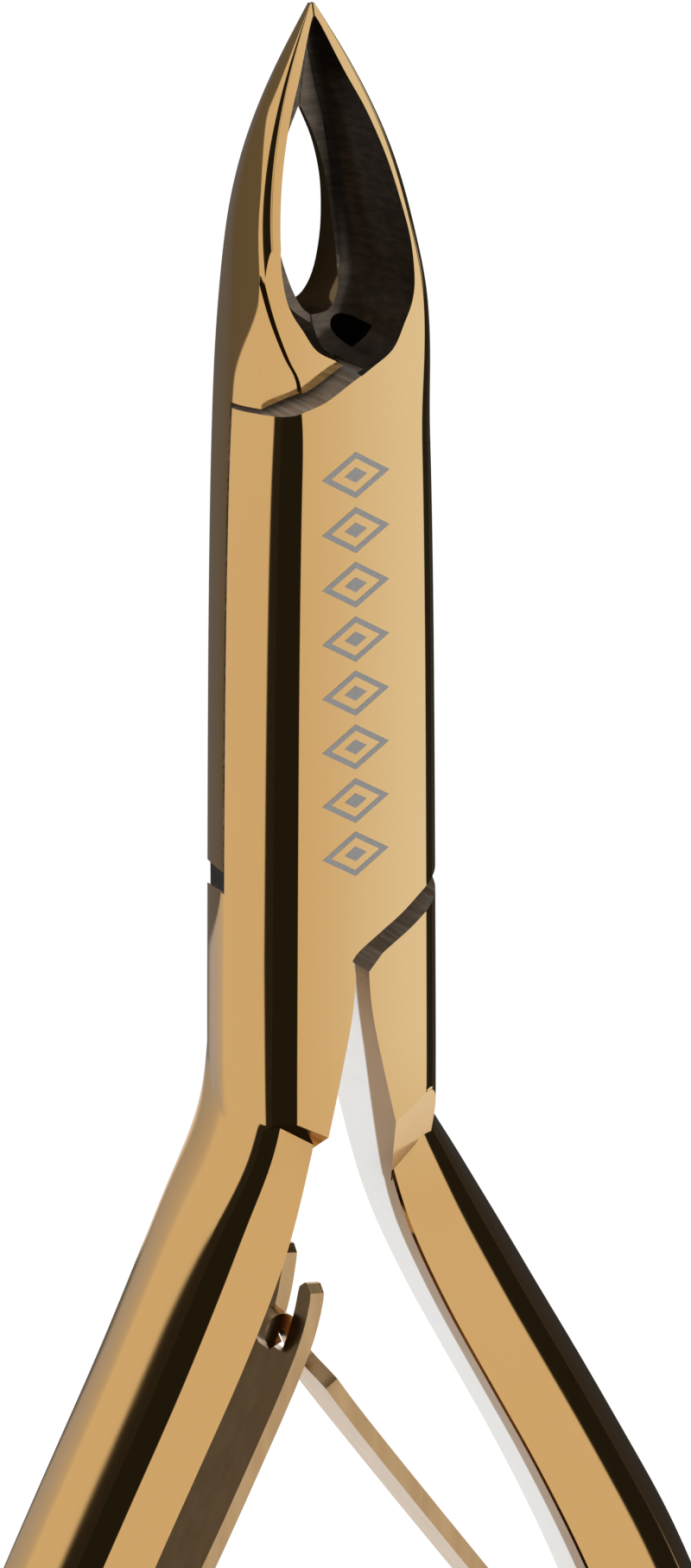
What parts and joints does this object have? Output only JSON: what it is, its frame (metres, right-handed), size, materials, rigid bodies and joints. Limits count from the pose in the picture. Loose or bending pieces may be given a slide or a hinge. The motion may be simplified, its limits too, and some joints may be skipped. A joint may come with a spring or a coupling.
{
  "type": "cuticle nipper",
  "caption": "Hand nipper for trimming cuticles: lap-jointed levers, hollow-ground pointed jaws and interlocking leaf springs.",
  "frame": {"origin": "where the pivot's axis meets the flat back face of the lap joint", "axes": "+Z along the pivot's axis out of the front face, +Y towards the tip of the jaws, +X across the handles"},
  "size_m": [0.0481, 0.118, 0.007],
  "materials": {
    "gold_lever": "mirror-polished steel with a gold-coloured coating",
    "gold_spring": "gold-coloured spring steel",
    "gold_small": "gold-coloured turned steel"
  },
  "bodies": {
    "front_half": {"front_lever": "gold_lever", "pivot_rivet": "gold_small", "left_screw": "gold_small"},
    "rear_half": {"rear_lever": "gold_lever", "right_screw": "gold_small"},
    "fork_leaf": {"fork_spring": "gold_spring"},
    "tongue_leaf": {"tongue_spring": "gold_spring"}
  },
  "joints": [
    {"name": "lever_pivot", "type": "hinge", "parent": "front_half", "child": "rear_half", "pos_m": [0, 0, 0], "axis": [0, 0, 1], "range_deg": [0, 7]},
    {"name": "fork_spring_flex", "type": "hinge", "parent": "front_half", "child": "fork_leaf", "pos_m": [-0.0177, -0.0646, 0], "axis": [0, 0, 1], "range_deg": [-4.1, 0]},
    {"name": "tongue_spring_flex", "type": "hinge", "parent": "rear_half", "child": "tongue_leaf", "pos_m": [0.0177, -0.0646, 0], "axis": [0, 0, 1], "range_deg": [0, 3.6]}
  ],
  "couplings": [
    {"joint": "fork_spring_flex", "follows": "lever_pivot", "ratio": -0.58},
    {"joint": "tongue_spring_flex", "follows": "lever_pivot", "ratio": 0.51}
  ]
}
